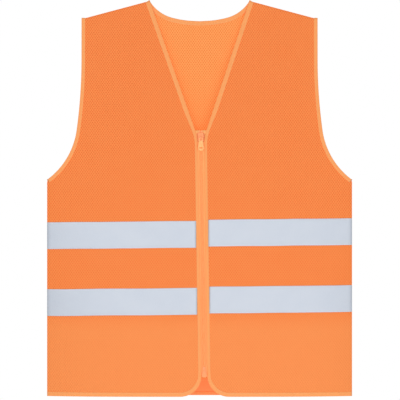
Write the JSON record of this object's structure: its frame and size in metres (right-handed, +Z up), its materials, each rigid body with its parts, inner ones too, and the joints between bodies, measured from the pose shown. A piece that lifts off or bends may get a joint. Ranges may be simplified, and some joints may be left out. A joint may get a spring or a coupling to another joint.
{
  "type": "high visibility vest",
  "caption": "Sleeveless mesh safety vest with reflective bands, bound edges and a separating front zip; the fronts fold open and the zip slider and its pull move.",
  "frame": {"origin": "midway between the two neck points, at their height, where a hanger or the wearer's shoulders hold the vest", "axes": "+Z up, +X towards the wearer's left, -Y out of the front; the vest hangs upright"},
  "size_m": [0.571, 0.065, 0.74],
  "materials": {
    "mesh_fabric": "knitted polyester mesh, matt",
    "edge_binding": "woven polyester binding tape, slight sheen",
    "seam_thread": "overlocked polyester thread",
    "reflective_tape": "glass-bead retroreflective fabric tape, silver",
    "zipper_tape": "woven polyester zip tape",
    "zipper_nylon": "dyed nylon, satin",
    "slider_paint": "die-cast zinc with a semi-gloss coating"
  },
  "bodies": {
    "root": {"back_panel": "mesh_fabric", "neck_binding": "edge_binding", "hem_binding": "edge_binding", "front_outer_left": "mesh_fabric", "front_outer_right": "mesh_fabric", "armhole_binding_left": "edge_binding", "armhole_binding_right": "edge_binding", "shoulder_seam_left": "seam_thread", "shoulder_seam_right": "seam_thread", "side_seam_left": "seam_thread", "side_seam_right": "seam_thread", "back_band_upper": "reflective_tape", "back_band_lower": "reflective_tape", "front_band_upper_outer_left": "reflective_tape", "front_band_upper_outer_right": "reflective_tape", "front_band_lower_outer_left": "reflective_tape", "front_band_lower_outer_right": "reflective_tape"},
    "front_left": {"front_flap_left": "mesh_fabric", "front_edge_binding_left": "edge_binding", "front_band_upper_flap_left": "reflective_tape", "front_band_lower_flap_left": "reflective_tape", "zipper_tape_left": "zipper_tape", "zipper_coil_left": "zipper_nylon", "top_stop_left": "zipper_nylon", "insertion_pin": "zipper_nylon"},
    "front_right": {"front_flap_right": "mesh_fabric", "front_edge_binding_right": "edge_binding", "front_band_upper_flap_right": "reflective_tape", "front_band_lower_flap_right": "reflective_tape", "zipper_tape_right": "zipper_tape", "zipper_coil_right": "zipper_nylon", "top_stop_right": "zipper_nylon", "retainer_pin": "zipper_nylon", "retainer_box": "zipper_nylon"},
    "slider": {"slider_body": "slider_paint"},
    "pull_tab": {"pull_tab": "slider_paint"}
  },
  "joints": [
    {"name": "left_front_fold", "type": "hinge", "parent": "root", "child": "front_left", "pos_m": [0.088, -0.01736, -0.37], "axis": [0, 0.0401, 0.9992], "range_deg": [0, 160]},
    {"name": "right_front_fold", "type": "hinge", "parent": "root", "child": "front_right", "pos_m": [-0.088, -0.01736, -0.37], "axis": [0, -0.0401, -0.9992], "range_deg": [0, 160]},
    {"name": "zip_slide", "type": "slide", "parent": "front_right", "child": "slider", "axis": [0.0149, -0.0405, -0.9991], "range_m": [0, 0.4299], "deforming": ["zipper_coil_left", "zipper_coil_right"]},
    {"name": "pull_tab_swing", "type": "hinge", "parent": "slider", "child": "pull_tab", "pos_m": [0.00236, -0.01593, -0.25727], "axis": [-0.9999, -0.0006, -0.0149], "range_deg": [0, 165]}
  ]
}
